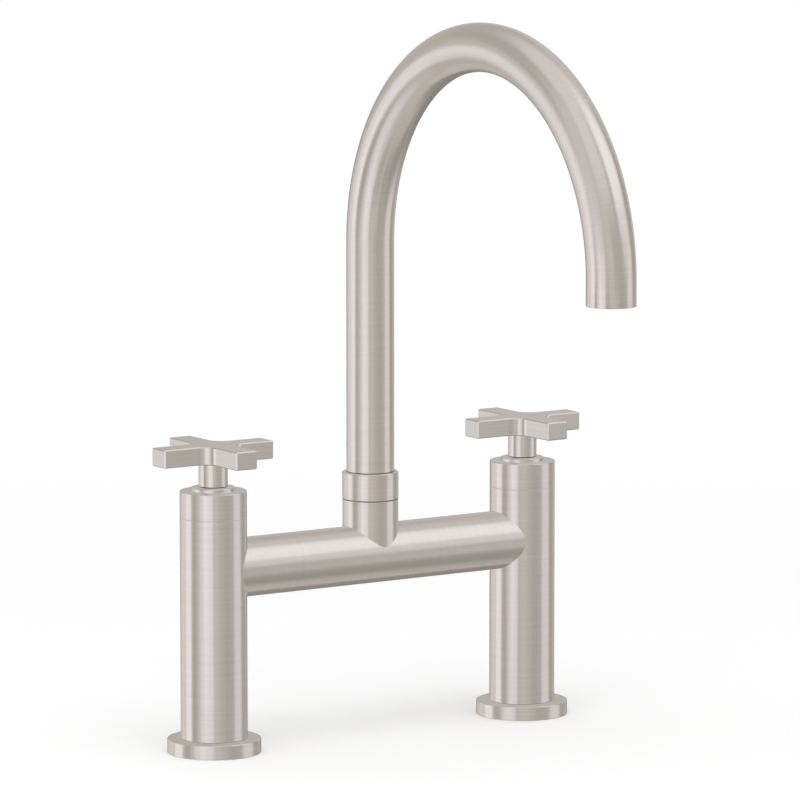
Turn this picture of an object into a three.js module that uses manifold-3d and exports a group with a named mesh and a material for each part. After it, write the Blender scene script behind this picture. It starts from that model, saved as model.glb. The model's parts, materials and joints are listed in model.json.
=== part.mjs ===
// Bridge kitchen faucet: two columns with quarter-turn cross handles, a bridge tube between them
// and a gooseneck spout that swivels on a boss in the middle of the bridge.
//
// Millimetres, +Z up. The origin lies on the deck midway between the columns. +X runs along the
// bridge from the hot column to the cold one, and the spout points to -Y. Both valves are shut.

import * as THREE from 'three';
import { mergeVertices, toCreasedNormals } from 'three/addons/utils/BufferGeometryUtils.js';
import Module from 'manifold-3d';

const wasm = await Module();
wasm.setup();

// ---- Driving dimensions -------------------------------------------------------------------

// Columns and bridge
const columnSpacing = 203.2; // the usual 8 in between the deck holes
const columnDiameter = 36.4;
const columnWall = 2.8;
const seamAboveBridge = 29.3; // where the column's cap starts, over the bridge's axis
const bridgeHeight = 100; // the bridge's axis over the deck
const bridgeDiameter = 32.4;
const bridgeWall = 3.2;

// Base flange, its gasket and the inlet
const flangeDiameter = 51.1;
const flangeThickness = 7.9;
const gasketWidth = 6;
const gasketHeight = 1.9;
const footDiameter = 24; // the adapter's foot, which centres the flange
const footRecess = 0.6; // from the deck up to the foot's end
const inletDiameter = 19.2; // the socket that takes the supply shank
const inletDepth = 10.4;
const adapterHeight = 16; // over the flange
const supplyTubeDiameter = 16;
const supplyTubeWall = 1.4;
const supplySocketDepth = 9;

// Column cap
const capHeight = 14.2;
const capRoof = 4;
const capSpigotLength = 8.3; // screwed into the shell
const capSpigotWall = 1.5;
const capRingDiameter = 24.8; // foot of the raised ring on the cap
const capRingHeight = 1.8;
const capRingBevel = 0.8;
const capHoleDiameter = 13;

// Valve body and cartridge
const valveWall = 2.5;
const valveThreadWall = 1.2; // left outside the cartridge nut's thread
const portDiameter = 18.2; // side port towards the bridge
const seatBelowPort = 12;
const ledgeAbovePort = 12;
const waterGap = 1.2; // round the cartridge
const cartridgeWall = 1.5;
const cartridgeFlange = 2.5;
const chamberRoof = 1.5;
const windowWidth = 9;
const neckWall = 3.6;
const sealHeight = 2.4;
const fixedDiscThickness = 3;
const movingDiscThickness = 2.6;
const discRim = 2.2; // ceramic left outside the ports
const discHub = 2.6; // radius of ceramic left in the middle
const portHalfAngle = 38; // degrees
const nutHexHeight = 4;
const nutCornerGap = 0.8;
const neckAboveNut = 3;

// Spindle
const spindleDiameter = 9.8;
const splineDiameter = 8.4; // where the handle stem grips it
const thrustCollarDiameter = 16.4;
const thrustCollarHeight = 2.6;
const forkWidth = 5;
const forkThickness = 3;
const dogWidth = 3.6;
const dogDepth = 1.5;
const dogLength = 2;
const spindleRingSection = 1.2;
const spindleRingBelowNeck = 5;

// Handle
const stemDiameter = 15.9;
const stemLength = 13.15; // in the open, from the cap's ring to the cross
const stemLift = 0.6; // over the cap's ring
const stemSpigotDiameter = 11;
const stemSpigotLength = 4.6;
const stemRoof = 2;
const crossSpan = 69.1;
const crossArmWidth = 13.35;
const crossThickness = 9.35;
const crossFillet = 7.5;
const handleScrewDiameter = 3.8;
const handleScrewHeight = 5.6; // over the stem's foot

// Union between valve body and bridge
const unionBore = 13.6;
const unionPlugLength = 11.5;
const unionPlugStart = 3.3; // from the column's face to the plug

// Spout
const spoutDiameter = 26.25;
const spoutWall = 1.5;
const spoutReach = 226.8; // from the riser's axis to the outlet's
const archSpringHeight = 273; // from the deck to the ends of the half circle
const outletDrop = 12.8; // straight run from the half circle down to the outlet
const collarWall = 2.025;
const collarLip = 1.05;
const collarHeight = 14.7;
const swivelSeam = 0.3; // open line between boss and collar
const swivelWasherThickness = 1;
const spigotFlange = 1.6;
const spigotDiameter = 20.4;
const spigotBore = 14;
const spigotSocketLength = 9;
const spigotLand = 1.3;
const spigotRingSection = 2;
const retainingScrewDiameter = 3;
const bossStep = 0.1; // the boss is this much smaller in radius than the collar
const bossWaterway = 14.4;
const bossTenonWall = 2.4;
const bossTenonDepth = 6; // how far the tenon goes through the bridge's wall
const bossWeb = 2.2; // between the bridge's top and the floor of the spigot's bore

// Aerator
const aeratorRecess = 0.7;
const aeratorHeight = 9.6;
const aeratorWall = 1.9;
const aeratorLip = 0.9;
const aeratorGap = 0.5; // its thread's clearance in the spout
const insertHeight = 6;
const insertCell = 4.4; // across the corners of one cell
const insertPitch = 5.2;
const aeratorWasherHeight = 1.6;

// Edges and clearances
const edge = 0.35; // small chamfer on every outer edge
const fitGap = 0.3; // radial, between fixed round pieces and round turning ones
const cutGap = 0.3; // between a coped piece and what it is coped to
const seatGap = 0.1; // between flat faces that seat
const ringGap = 0.25; // between an O-ring and its bore
const grooveGap = 0.4; // an O-ring's end float in its groove

// Facets: each count is a multiple of four, so that every round piece has its full width
const outerSides = 32;
const spoutSides = 28;
const stemSides = 24;
const hiddenSides = 16; // inside, where something turns
const fixedSides = 12; // inside, where nothing turns
const screwSides = 8;
const archSteps = 24;
const filletSteps = 6;

// ---- Radii and levels that follow ---------------------------------------------------------

const columnRadius = columnDiameter / 2;
const shellBore = columnRadius - columnWall;
const insideShell = shellBore - fitGap; // outer radius of all that is fitted in the shell
const bridgeRadius = bridgeDiameter / 2;
const bridgeBore = bridgeRadius - bridgeWall;
const flangeRadius = flangeDiameter / 2;
const footRadius = footDiameter / 2;
const supplyRadius = supplyTubeDiameter / 2;
const supplyBore = supplyRadius - supplyTubeWall;

const seamLevel = bridgeHeight + seamAboveBridge;
const shellTop = seamLevel - seatGap;
const capBottom = seamLevel + seatGap;
const capTop = seamLevel + capHeight;
const capRingTop = capTop + capRingHeight;
const adapterTop = flangeThickness + adapterHeight;

const cavityRadius = insideShell - valveWall;
const valveThreadRadius = insideShell - valveThreadWall;
const portRadius = portDiameter / 2;
const seatLevel = bridgeHeight - seatBelowPort;
const ledgeLevel = bridgeHeight + ledgeAbovePort;
const valveBottom = seatLevel - 3 - supplySocketDepth;
const valveTop = seamLevel - capSpigotLength - 1;

const cartridgeRadius = cavityRadius - waterGap;
const cartridgeBore = cartridgeRadius - cartridgeWall;
const discRadius = cartridgeBore - fitGap;
const discPortOuter = discRadius - discRim;
const cartridgeBottom = seatLevel + sealHeight + seatGap;
const fixedDiscTop = cartridgeBottom + fixedDiscThickness;
const movingDiscBottom = fixedDiscTop + seatGap;
const movingDiscTop = movingDiscBottom + movingDiscThickness;
const forkBottom = movingDiscTop + seatGap;
const forkTop = forkBottom + forkThickness;
const forkReach = Math.sqrt(discRadius ** 2 - (forkWidth / 2) ** 2); // its corners turn with the disc
const chamberTop = ledgeLevel - chamberRoof;
const spindleRadius = spindleDiameter / 2;
const neckBore = spindleRadius + fitGap;
const neckRadius = neckBore + neckWall;
const flangeTopLevel = ledgeLevel + seatGap + cartridgeFlange;
const nutTop = valveTop + nutHexHeight;
const neckTop = nutTop + neckAboveNut;

const stemRadius = stemDiameter / 2;
const stemBottom = capRingTop + stemLift;
const crossBottom = stemBottom + stemLength;
const stemTop = crossBottom - seatGap;
const stemSocketTop = crossBottom - stemRoof;
const splineRadius = splineDiameter / 2;
const spindleTop = stemSocketTop - 1;
const stemSpigotRadius = stemSpigotDiameter / 2;
const handleScrewLevel = stemBottom + handleScrewHeight;

const spoutRadius = spoutDiameter / 2;
const spoutBore = spoutRadius - spoutWall;
const collarRadius = spoutRadius + fitGap + collarWall;
const collarRecess = collarRadius - collarLip;
const bossRadius = collarRadius - bossStep;
const spigotRadius = spigotDiameter / 2;
const spigotSeat = spigotRadius + fitGap; // bore of the boss
const ringGroove = spigotRingSection + grooveGap;
const spigotDepth = 4 * spigotLand + 3 * ringGroove; // two rings and the screw's groove
const bossFloor = bridgeHeight + bridgeRadius + bossWeb;
const bossTop = bossFloor + spigotDepth;
const washerTop = bossTop + seatGap + swivelWasherThickness;
const spigotFlangeBottom = washerTop + seatGap;
const spigotFlangeTop = spigotFlangeBottom + spigotFlange;
const spoutBottom = spigotFlangeTop + seatGap;
const collarBottom = bossTop + swivelSeam;
const collarTop = collarBottom + collarHeight;
const archRadius = spoutReach / 2;
const outletLevel = archSpringHeight - outletDrop;

// ---- Shaping ------------------------------------------------------------------------------

// A piece turned about Z from its half section: [radius, z] points, anticlockwise.
function turned(section, sides) {
  const outline = [...section, section[0]].map(([radius, z]) => new THREE.Vector2(radius, z));
  return new THREE.LatheGeometry(outline, sides).rotateX(Math.PI / 2);
}

function rod(radius, from, to, sides) {
  return turned([[0, from], [radius, from], [radius, to], [0, to]], sides);
}

function ring(inner, outer, from, to, sides) {
  return turned([[inner, from], [outer, from], [outer, to], [inner, to]], sides);
}

// An O-ring with its middle at the given level.
function oRing(inner, outer, level, sides) {
  const corners = 5;
  const middle = (inner + outer) / 2;
  const radius = (outer - inner) / 2;
  const section = Array.from({ length: corners }, (_, corner) => {
    const angle = (2 * Math.PI * corner) / corners;
    return [middle + radius * Math.cos(angle), level + radius * Math.sin(angle)];
  });
  return turned(section, sides);
}

function circlePoints(radius, sides, centreX = 0, centreY = 0) {
  return Array.from({ length: sides }, (_, side) => {
    const angle = (2 * Math.PI * side) / sides;
    return new THREE.Vector2(centreX + radius * Math.cos(angle), centreY + radius * Math.sin(angle));
  });
}

// A flat piece with holes, from its outline and the holes' outlines.
function plate(outline, holes, from, to) {
  const shape = new THREE.Shape(outline);
  shape.holes = holes.map((hole) => new THREE.Path(hole));
  const settings = { depth: to - from, bevelEnabled: false };
  return new THREE.ExtrudeGeometry(shape, settings).translate(0, 0, from);
}

function block(width, depth, from, to) {
  return new THREE.BoxGeometry(width, depth, to - from).translate(0, 0, (from + to) / 2);
}

// A closed mesh as a solid that can be cut and joined.
function solid(geometry) {
  const bare = geometry.clone();
  bare.deleteAttribute('normal');
  bare.deleteAttribute('uv');
  const merged = mergeVertices(bare);
  const corners = [];
  for (let at = 0; at < merged.index.count; at += 3) {
    const [a, b, c] = merged.index.array.slice(at, at + 3);
    if (a !== b && b !== c && c !== a) corners.push(a, b, c);
  }
  return new wasm.Manifold(new wasm.Mesh({
    numProp: 3,
    vertProperties: new Float32Array(merged.attributes.position.array),
    triVerts: new Uint32Array(corners),
  }));
}

function joined(first, ...others) {
  return others.reduce((whole, other) => whole.add(solid(other)), solid(first));
}

function cut(whole, ...tools) {
  return tools.reduce((rest, tool) => rest.subtract(solid(tool)), whole);
}

function meshed(shape) {
  const { vertProperties, triVerts } = shape.getMesh();
  const geometry = new THREE.BufferGeometry();
  geometry.setAttribute('position', new THREE.BufferAttribute(vertProperties, 3));
  geometry.setIndex(new THREE.BufferAttribute(triVerts, 1));
  return toCreasedNormals(geometry, Math.PI / 7);
}

// ---- Finishes -----------------------------------------------------------------------------

const finishes = {
  brushedNickel: { color: '#b9b0a9', roughness: 0.36, metalness: 1 },
  brass: { color: '#c2a35c', roughness: 0.4, metalness: 1 },
  copper: { color: '#b8754f', roughness: 0.4, metalness: 1 },
  stainless: { color: '#a9a7a3', roughness: 0.35, metalness: 1 },
  ceramic: { color: '#e6e2da', roughness: 0.3, metalness: 0 },
  rubber: { color: '#1d1d1c', roughness: 0.8, metalness: 0 },
  plastic: { color: '#d8d6d0', roughness: 0.55, metalness: 0 },
};

function piece(name, geometry, finish) {
  const mesh = new THREE.Mesh(geometry, new THREE.MeshStandardMaterial(finishes[finish]));
  mesh.name = name;
  return mesh;
}

// ---- Column -------------------------------------------------------------------------------

function baseFlange() {
  const body = rod(flangeRadius, 0, flangeThickness - edge, outerSides);
  const rim = turned(
    [
      [0, flangeThickness - edge],
      [flangeRadius, flangeThickness - edge],
      [flangeRadius - edge, flangeThickness],
      [0, flangeThickness],
    ],
    outerSides,
  );
  const bore = rod(footRadius + fitGap, -1, flangeThickness + 1, hiddenSides);
  const groove = ring(
    gasketMiddle() - gasketWidth / 2 - fitGap,
    gasketMiddle() + gasketWidth / 2 + fitGap,
    -1,
    gasketHeight + seatGap,
    hiddenSides,
  );
  return meshed(cut(joined(body, rim), bore, groove));
}

// The gasket lies halfway between the flange's bore and its edge.
function gasketMiddle() {
  return (footRadius + fitGap + flangeRadius) / 2;
}

function baseGasket() {
  const inner = gasketMiddle() - gasketWidth / 2;
  return ring(inner, inner + gasketWidth, 0, gasketHeight, hiddenSides);
}

function inletAdapter() {
  const inlet = inletDiameter / 2;
  const shoulder = flangeThickness + seatGap;
  const socketFloor = adapterTop - supplySocketDepth;
  return turned(
    [
      [inlet, footRecess],
      [footRadius, footRecess],
      [footRadius, shoulder],
      [insideShell, shoulder],
      [insideShell, adapterTop],
      [supplyRadius + fitGap, adapterTop],
      [supplyRadius + fitGap, socketFloor],
      [supplyBore, socketFloor],
      [supplyBore, footRecess + inletDepth],
      [inlet, footRecess + inletDepth],
    ],
    fixedSides,
  );
}

function supplyTube() {
  const from = adapterTop - supplySocketDepth + seatGap;
  const to = valveBottom + supplySocketDepth - seatGap;
  return ring(supplyBore, supplyRadius, from, to, fixedSides);
}

// A rod from the column's axis towards the bridge, to cut the side ports with.
function portTool(side) {
  return rod(portRadius, 0, columnRadius + 1, fixedSides)
    .rotateY(side * Math.PI / 2)
    .translate(0, 0, bridgeHeight);
}

function columnShell(side) {
  const outer = rod(columnRadius, flangeThickness + seatGap, shellTop, outerSides);
  const bore = rod(shellBore, 0, shellTop + 1, outerSides);
  return meshed(cut(solid(outer), bore, portTool(side)));
}

function valveBody(side) {
  const body = turned(
    [
      [supplyRadius + fitGap, valveBottom],
      [insideShell, valveBottom],
      [insideShell, valveTop],
      [valveThreadRadius, valveTop],
      [valveThreadRadius, ledgeLevel],
      [cavityRadius, ledgeLevel],
      [cavityRadius, seatLevel],
      [supplyBore, seatLevel],
      [supplyBore, valveBottom + supplySocketDepth],
      [supplyRadius + fitGap, valveBottom + supplySocketDepth],
    ],
    hiddenSides,
  );
  return meshed(cut(solid(body), portTool(side)));
}

// The cap screws into the shell; its raised ring is bevelled towards the stem.
function columnCap() {
  const ringRadius = capRingDiameter / 2;
  const outside = turned(
    [
      [0, seamLevel - capSpigotLength],
      [insideShell, seamLevel - capSpigotLength],
      [insideShell, capBottom],
      [columnRadius, capBottom],
      [columnRadius, capTop - edge],
      [columnRadius - edge, capTop],
      [ringRadius, capTop],
      [ringRadius - capRingBevel, capRingTop],
      [0, capRingTop],
    ],
    outerSides,
  );
  const inside = turned(
    [
      [0, 0],
      [insideShell - capSpigotWall, 0],
      [insideShell - capSpigotWall, capTop - capRoof],
      [capHoleDiameter / 2, capTop - capRoof],
      [capHoleDiameter / 2, capRingTop + 1],
      [0, capRingTop + 1],
    ],
    hiddenSides,
  );
  return meshed(cut(solid(outside), inside));
}

// ---- Cartridge ----------------------------------------------------------------------------

function seatSeal() {
  return ring(discPortOuter, cartridgeRadius, seatLevel, seatLevel + sealHeight, fixedSides);
}

// One of a disc's two ports: a sector between hub and rim, about the given direction.
function discPort(direction) {
  const half = THREE.MathUtils.degToRad(portHalfAngle);
  const steps = 4;
  const arc = (radius, from, to) => Array.from({ length: steps + 1 }, (_, step) => {
    const angle = direction + from + ((to - from) * step) / steps;
    return new THREE.Vector2(radius * Math.cos(angle), radius * Math.sin(angle));
  });
  return [...arc(discPortOuter, -half, half), ...arc(discHub, half, -half)];
}

// The ports of the fixed disc lie on Y, and those of the moving one, shut, on X.
function fixedDisc() {
  const ports = [discPort(Math.PI / 2), discPort(-Math.PI / 2)];
  return plate(circlePoints(discRadius, hiddenSides), ports, cartridgeBottom, fixedDiscTop);
}

function movingDisc() {
  const ports = [discPort(0), discPort(Math.PI)];
  const outline = circlePoints(discRadius, hiddenSides);
  const disc = plate(outline, ports, movingDiscBottom, movingDiscTop);
  const notchFloor = forkReach - dogDepth - fitGap;
  const notches = [1, -1].map((end) => block(
    dogWidth + 2 * fitGap,
    discRadius,
    movingDiscBottom - 1,
    movingDiscTop + 1,
  ).translate(0, end * (notchFloor + discRadius / 2), 0));
  return meshed(cut(solid(disc), ...notches));
}

function cartridgeBody() {
  const shell = turned(
    [
      [cartridgeBore, cartridgeBottom],
      [cartridgeRadius, cartridgeBottom],
      [cartridgeRadius, ledgeLevel + seatGap],
      [valveThreadRadius - fitGap, ledgeLevel + seatGap],
      [valveThreadRadius - fitGap, flangeTopLevel],
      [neckRadius, flangeTopLevel],
      [neckRadius, neckTop],
      [neckBore, neckTop],
      [neckBore, chamberTop],
      [cartridgeBore, chamberTop],
    ],
    hiddenSides,
  );
  const windows = block(
    2 * cavityRadius,
    windowWidth,
    movingDiscTop + fitGap,
    chamberTop - thrustCollarHeight,
  );
  return meshed(cut(solid(shell), windows));
}

// The spindle turns the moving disc with the two dogs of its fork.
function spindle() {
  const collarTopLevel = chamberTop - fitGap;
  const ringLevel = neckTop - spindleRingBelowNeck;
  const grooveHalf = (spindleRingSection + grooveGap) / 2;
  const grooveRadius = neckBore - ringGap - spindleRingSection - seatGap;
  const shaft = turned(
    [
      [0, forkBottom + forkThickness / 2],
      [spindleRadius, forkBottom + forkThickness / 2],
      [spindleRadius, collarTopLevel - thrustCollarHeight],
      [thrustCollarDiameter / 2, collarTopLevel - thrustCollarHeight],
      [thrustCollarDiameter / 2, collarTopLevel],
      [spindleRadius, collarTopLevel],
      [spindleRadius, ringLevel - grooveHalf],
      [grooveRadius, ringLevel - grooveHalf],
      [grooveRadius, ringLevel + grooveHalf],
      [spindleRadius, ringLevel + grooveHalf],
      [spindleRadius, neckTop + 1],
      [splineRadius, neckTop + 1],
      [splineRadius, spindleTop],
      [0, spindleTop],
    ],
    hiddenSides,
  );
  const fork = block(forkWidth, 2 * forkReach, forkBottom, forkTop);
  const dogs = [1, -1].map((end) => block(
    dogWidth,
    dogDepth,
    forkBottom - dogLength,
    forkTop,
  ).translate(0, end * (forkReach - dogDepth / 2), 0));
  return meshed(joined(shaft, fork, ...dogs));
}

function spindleORing() {
  const outer = neckBore - ringGap;
  return oRing(outer - spindleRingSection, outer, neckTop - spindleRingBelowNeck, hiddenSides);
}

function cartridgeNut() {
  const bore = neckRadius + fitGap;
  const cornerRadius = insideShell - capSpigotWall - nutCornerGap;
  const thread = rod(valveThreadRadius - fitGap, flangeTopLevel + seatGap, valveTop, hiddenSides);
  const hexagon = rod(cornerRadius, valveTop - 1, nutTop, 6);
  return meshed(cut(joined(thread, hexagon), rod(bore, ledgeLevel, nutTop + 1, hiddenSides)));
}

// ---- Handle -------------------------------------------------------------------------------

// A grub screw along its own Z: a dog point half as wide as the thread, and a blind socket.
function grubScrew(radius, from, threadFrom, to) {
  const half = radius / 2;
  const socketFloor = to - radius;
  return turned(
    [
      [0, from],
      [half, from],
      [half, threadFrom],
      [radius, threadFrom],
      [radius, to],
      [half, to],
      [half, socketFloor],
      [0, socketFloor],
    ],
    screwSides,
  );
}

// A rod from the axis to the back, to cut a grub screw's hole with.
function screwHole(radius, level, length) {
  return rod(radius, 0, length, screwSides).rotateX(-Math.PI / 2).translate(0, 0, level);
}

function handleStem() {
  const outside = turned(
    [
      [0, stemBottom],
      [stemRadius - edge, stemBottom],
      [stemRadius, stemBottom + edge],
      [stemRadius, stemTop],
      [stemSpigotRadius, stemTop],
      [stemSpigotRadius, stemTop + stemSpigotLength],
      [0, stemTop + stemSpigotLength],
    ],
    stemSides,
  );
  const socket = rod(splineRadius + fitGap, 0, stemSocketTop, hiddenSides);
  const hole = screwHole(handleScrewDiameter / 2 + fitGap, handleScrewLevel, stemRadius + 1);
  return meshed(cut(solid(outside), socket, hole));
}

function handleScrew() {
  const radius = handleScrewDiameter / 2;
  const from = splineRadius + seatGap;
  const screw = grubScrew(radius, from, from + radius / 2, stemRadius - fitGap);
  return screw.rotateX(-Math.PI / 2).translate(0, 0, handleScrewLevel);
}

// Four square-ended arms with round inner corners, anticlockwise from the +X arm.
function crossOutline() {
  const tip = crossSpan / 2;
  const side = crossArmWidth / 2;
  const centre = side + crossFillet;
  const corner = [[tip - edge, -side], [tip, edge - side], [tip, side - edge], [tip - edge, side]];
  for (let step = 0; step <= filletSteps; step += 1) {
    const angle = -Math.PI / 2 - (Math.PI / 2) * (step / filletSteps);
    corner.push([centre + crossFillet * Math.cos(angle), centre + crossFillet * Math.sin(angle)]);
  }
  const origin = new THREE.Vector2();
  return [0, 1, 2, 3].flatMap((quarter) => corner.map(
    ([x, y]) => new THREE.Vector2(x, y).rotateAround(origin, (quarter * Math.PI) / 2),
  ));
}

function crossHandle() {
  const cross = new THREE.ExtrudeGeometry(new THREE.Shape(crossOutline()), {
    depth: crossThickness - 2 * edge,
    bevelThickness: edge,
    bevelSize: edge,
    bevelOffset: -edge,
    bevelSegments: 1,
  }).translate(0, 0, crossBottom + edge);
  const socketTop = stemTop + stemSpigotLength + fitGap;
  const socket = rod(stemSpigotRadius + fitGap, 0, socketTop, hiddenSides);
  return meshed(cut(solid(cross), socket));
}

// ---- Bridge -------------------------------------------------------------------------------

// Along X and coped to both columns, with the hole for the boss's tenon on top.
function bridgeTube() {
  const half = columnSpacing / 2;
  const alongX = (radius, length, sides) => rod(radius, -length, length, sides).rotateY(Math.PI / 2);
  const column = rod(columnRadius + cutGap, -2 * bridgeRadius, 2 * bridgeRadius, outerSides);
  const tenonHole = rod(bossWaterway / 2 + bossTenonWall + fitGap, 0, 2 * bridgeRadius, hiddenSides);
  const tube = cut(
    solid(alongX(bridgeRadius, half, outerSides)),
    alongX(bridgeBore, half + 1, fixedSides),
    column.clone().translate(half, 0, 0),
    column.clone().translate(-half, 0, 0),
    tenonHole,
  );
  return meshed(tube).translate(0, 0, bridgeHeight);
}

// Turned about its own Z, which lies along the bridge with 0 on the column's axis.
function bridgeUnion() {
  const spigot = portRadius - fitGap;
  const plug = bridgeBore - fitGap;
  const plugStart = columnRadius + unionPlugStart;
  const plugEnd = plugStart + unionPlugLength;
  const grooveHalf = ringGroove / 2;
  const grooveRadius = unionRingOuter() - spigotRingSection - seatGap;
  return turned(
    [
      [unionBore / 2, cavityRadius + fitGap],
      [spigot, cavityRadius + fitGap],
      [spigot, plugStart],
      [plug, plugStart],
      [plug, unionRingLevel() - grooveHalf],
      [grooveRadius, unionRingLevel() - grooveHalf],
      [grooveRadius, unionRingLevel() + grooveHalf],
      [plug, unionRingLevel() + grooveHalf],
      [plug, plugEnd],
      [unionBore / 2, plugEnd],
    ],
    fixedSides,
  );
}

function unionRingLevel() {
  return columnRadius + unionPlugStart + unionPlugLength / 2;
}

function unionRingOuter() {
  return bridgeBore - ringGap;
}

function unionORing() {
  const outer = unionRingOuter();
  return oRing(outer - spigotRingSection, outer, unionRingLevel(), fixedSides);
}

// Coped onto the bridge, with a tenon through the bridge's wall and the swivel's bore on top.
function spoutBoss() {
  const tenonRadius = bossWaterway / 2 + bossTenonWall;
  const tenonBottom = bridgeHeight + bridgeRadius - bossTenonDepth;
  const boss = turned(
    [
      [0, bridgeHeight],
      [bossRadius, bridgeHeight],
      [bossRadius, bossTop - edge],
      [bossRadius - edge, bossTop],
      [0, bossTop],
    ],
    outerSides,
  );
  const saddle = rod(bridgeRadius + cutGap, -2 * bossRadius, 2 * bossRadius, outerSides)
    .rotateY(Math.PI / 2)
    .translate(0, 0, bridgeHeight);
  const tenon = rod(tenonRadius, tenonBottom, bossFloor, hiddenSides);
  return meshed(cut(
    cut(solid(boss), saddle).add(solid(tenon)),
    rod(bossWaterway / 2, bridgeHeight, bossFloor + 1, hiddenSides),
    rod(spigotSeat, bossFloor, bossTop + 1, hiddenSides),
    screwHole(retainingScrewDiameter / 2 + fitGap / 2, retainingLevel(), bossRadius + 1),
  ));
}

// ---- Swivel and spout ---------------------------------------------------------------------

// From the boss's floor up: land, ring, land, ring, land, the screw's groove and a last land.
function spigotGroove(index) {
  return bossFloor + spigotLand + ringGroove / 2 + index * (spigotLand + ringGroove);
}

function retainingLevel() {
  return spigotGroove(2);
}

function spigotGrooveRadius() {
  return spigotSeat - ringGap - spigotRingSection - seatGap;
}

function spoutSpigot() {
  const bore = spigotBore / 2;
  const grooveSteps = [0, 1, 2].flatMap((index) => {
    const level = spigotGroove(index);
    return [
      [spigotRadius, level - ringGroove / 2],
      [spigotGrooveRadius(), level - ringGroove / 2],
      [spigotGrooveRadius(), level + ringGroove / 2],
      [spigotRadius, level + ringGroove / 2],
    ];
  });
  return turned(
    [
      [bore, bossFloor + seatGap],
      [spigotRadius, bossFloor + seatGap],
      ...grooveSteps,
      [spigotRadius, spigotFlangeBottom],
      [collarRecess - fitGap, spigotFlangeBottom],
      [collarRecess - fitGap, spigotFlangeTop],
      [spoutBore - fitGap, spigotFlangeTop],
      [spoutBore - fitGap, spigotFlangeTop + spigotSocketLength],
      [bore, spigotFlangeTop + spigotSocketLength],
    ],
    hiddenSides,
  );
}

function spigotORing(index) {
  const outer = spigotSeat - ringGap;
  return oRing(outer - spigotRingSection, outer, spigotGroove(index), hiddenSides);
}

function swivelWasher() {
  return ring(spigotSeat, collarRecess - fitGap, bossTop + seatGap, washerTop, hiddenSides);
}

function retainingScrew() {
  const radius = retainingScrewDiameter / 2;
  const from = spigotGrooveRadius() + fitGap;
  const screw = grubScrew(radius, from, spigotSeat, bossRadius - fitGap);
  return screw.rotateX(-Math.PI / 2).translate(0, 0, retainingLevel());
}

function spoutCollar() {
  const recessTop = spigotFlangeTop + seatGap;
  return turned(
    [
      [collarRecess, collarBottom],
      [collarRadius - edge, collarBottom],
      [collarRadius, collarBottom + edge],
      [collarRadius, collarTop - edge],
      [collarRadius - edge, collarTop],
      [spoutRadius + fitGap, collarTop],
      [spoutRadius + fitGap, recessTop],
      [collarRecess, recessTop],
    ],
    outerSides,
  );
}

// The spout's middle line: up the riser, round the half circle and down to the outlet. Equal
// steps of t give the riser and the drop one step each and share out the rest along the arch.
class SpoutLine extends THREE.Curve {
  getPoint(t, target = new THREE.Vector3()) {
    const step = t * (archSteps + 2);
    if (step < 1) {
      return target.set(0, 0, THREE.MathUtils.lerp(spoutBottom, archSpringHeight, step));
    }
    if (step > archSteps + 1) {
      const drop = (step - archSteps - 1) * outletDrop;
      return target.set(0, -spoutReach, archSpringHeight - drop);
    }
    const angle = (Math.PI * (step - 1)) / archSteps;
    const y = archRadius * (Math.cos(angle) - 1);
    return target.set(0, y, archSpringHeight + archRadius * Math.sin(angle));
  }

  getUtoTmapping(u) {
    return u;
  }
}

function spoutTube() {
  const section = new THREE.Shape(circlePoints(spoutRadius, spoutSides));
  section.holes = [new THREE.Path(circlePoints(spoutBore, hiddenSides))];
  return new THREE.ExtrudeGeometry(section, {
    steps: archSteps + 2,
    extrudePath: new SpoutLine(),
  });
}

// ---- Aerator ------------------------------------------------------------------------------

const aeratorRadius = spoutBore - aeratorGap;
const aeratorBore = aeratorRadius - aeratorWall;
const aeratorBottom = outletLevel + aeratorRecess;
const aeratorTop = aeratorBottom + aeratorHeight;

function aeratorHousing() {
  return turned(
    [
      [aeratorBore - aeratorLip, aeratorBottom],
      [aeratorRadius, aeratorBottom],
      [aeratorRadius, aeratorTop],
      [aeratorBore, aeratorTop],
      [aeratorBore, aeratorBottom + aeratorLip],
      [aeratorBore - aeratorLip, aeratorBottom + aeratorLip],
    ],
    fixedSides,
  );
}

// A disc with one six-sided cell in the middle and a ring of six round it.
function aeratorInsert() {
  const cells = [circlePoints(insertCell / 2, 6)];
  for (let cell = 0; cell < 6; cell += 1) {
    const angle = (Math.PI * cell) / 3 + Math.PI / 6;
    const [x, y] = [insertPitch * Math.cos(angle), insertPitch * Math.sin(angle)];
    cells.push(circlePoints(insertCell / 2, 6, x, y));
  }
  const from = aeratorBottom + aeratorLip + seatGap;
  const outline = circlePoints(aeratorBore - fitGap, fixedSides);
  return plate(outline, cells, from, from + insertHeight);
}

function aeratorWasher() {
  const from = aeratorTop + seatGap;
  return ring(aeratorBore, aeratorRadius, from, from + aeratorWasherHeight, fixedSides);
}

// ---- Assembly -----------------------------------------------------------------------------

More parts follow.
